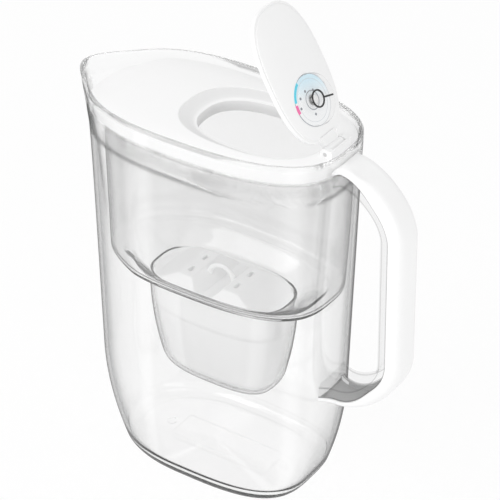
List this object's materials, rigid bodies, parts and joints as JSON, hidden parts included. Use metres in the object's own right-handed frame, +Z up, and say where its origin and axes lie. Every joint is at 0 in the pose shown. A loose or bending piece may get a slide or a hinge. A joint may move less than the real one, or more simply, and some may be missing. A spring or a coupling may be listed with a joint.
{
  "type": "water filter pitcher",
  "caption": "Clear filter jug with a spout, a lift-out hopper, a white filter cartridge, a looped handle and a lid with a hinged fill flap and a reminder dial.",
  "frame": {"origin": "on the flat underside of the jug, in its plane of symmetry", "axes": "+Z up, +X from the spout towards the handle, +Y to the left of someone who looks along +X"},
  "size_m": [0.2573, 0.108, 0.3639],
  "materials": {
    "clear_plastic": "clear moulded plastic, polished",
    "white_plastic": "white moulded plastic, satin gloss",
    "white_soft": "white moulded plastic, matt",
    "grommet": "pale moulded rubber",
    "carbon": "packed dark grains",
    "fleece": "fine white fleece",
    "steel": "fine brushed",
    "scale_print": "printed pale blue disc",
    "black_print": "black print"
  },
  "bodies": {
    "jug": {"jug_body": "clear_plastic", "handle_core": "clear_plastic", "handle_grip": "white_plastic"},
    "hopper_unit": {"hopper": "clear_plastic", "outlet_grommet": "grommet"},
    "cartridge": {"cartridge_body": "white_soft", "cartridge_cap": "white_soft", "cartridge_loop": "white_plastic", "cartridge_screen": "fleece", "cartridge_media": "carbon", "cartridge_outlet_mesh": "fleece", "cartridge_nozzle": "white_soft"},
    "lid": {"lid_plate": "white_plastic", "lid_clips": "white_plastic", "hinge_bracket": "white_plastic", "hinge_pin": "steel"},
    "flap": {"flap_shell": "white_plastic", "flap_liner": "white_plastic", "flap_knuckle": "white_plastic", "flap_screws": "steel", "dial_scale": "scale_print", "dial_spindle": "steel", "dial_washer": "steel"},
    "dial": {"dial_knob": "clear_plastic", "dial_pointer": "black_print"}
  },
  "joints": [
    {"name": "hopper_lift", "type": "slide", "parent": "jug", "child": "hopper_unit", "axis": [0, 0, 1], "range_m": [0, 0.22]},
    {"name": "cartridge_lift", "type": "slide", "parent": "hopper_unit", "child": "cartridge", "axis": [0, 0, 1], "range_m": [0, 0.1]},
    {"name": "lid_lift", "type": "slide", "parent": "hopper_unit", "child": "lid", "axis": [0, 0, 1], "range_m": [0, 0.06]},
    {"name": "flap_hinge", "type": "hinge", "parent": "lid", "child": "flap", "pos_m": [0.094, 0, 0.278], "axis": [0, 1, 0], "range_deg": [-60, 35]},
    {"name": "dial_turn", "type": "hinge", "parent": "flap", "child": "dial", "pos_m": [0.07651, 0, 0.3067], "axis": [0.866, 0, 0.5], "continuous": true}
  ]
}
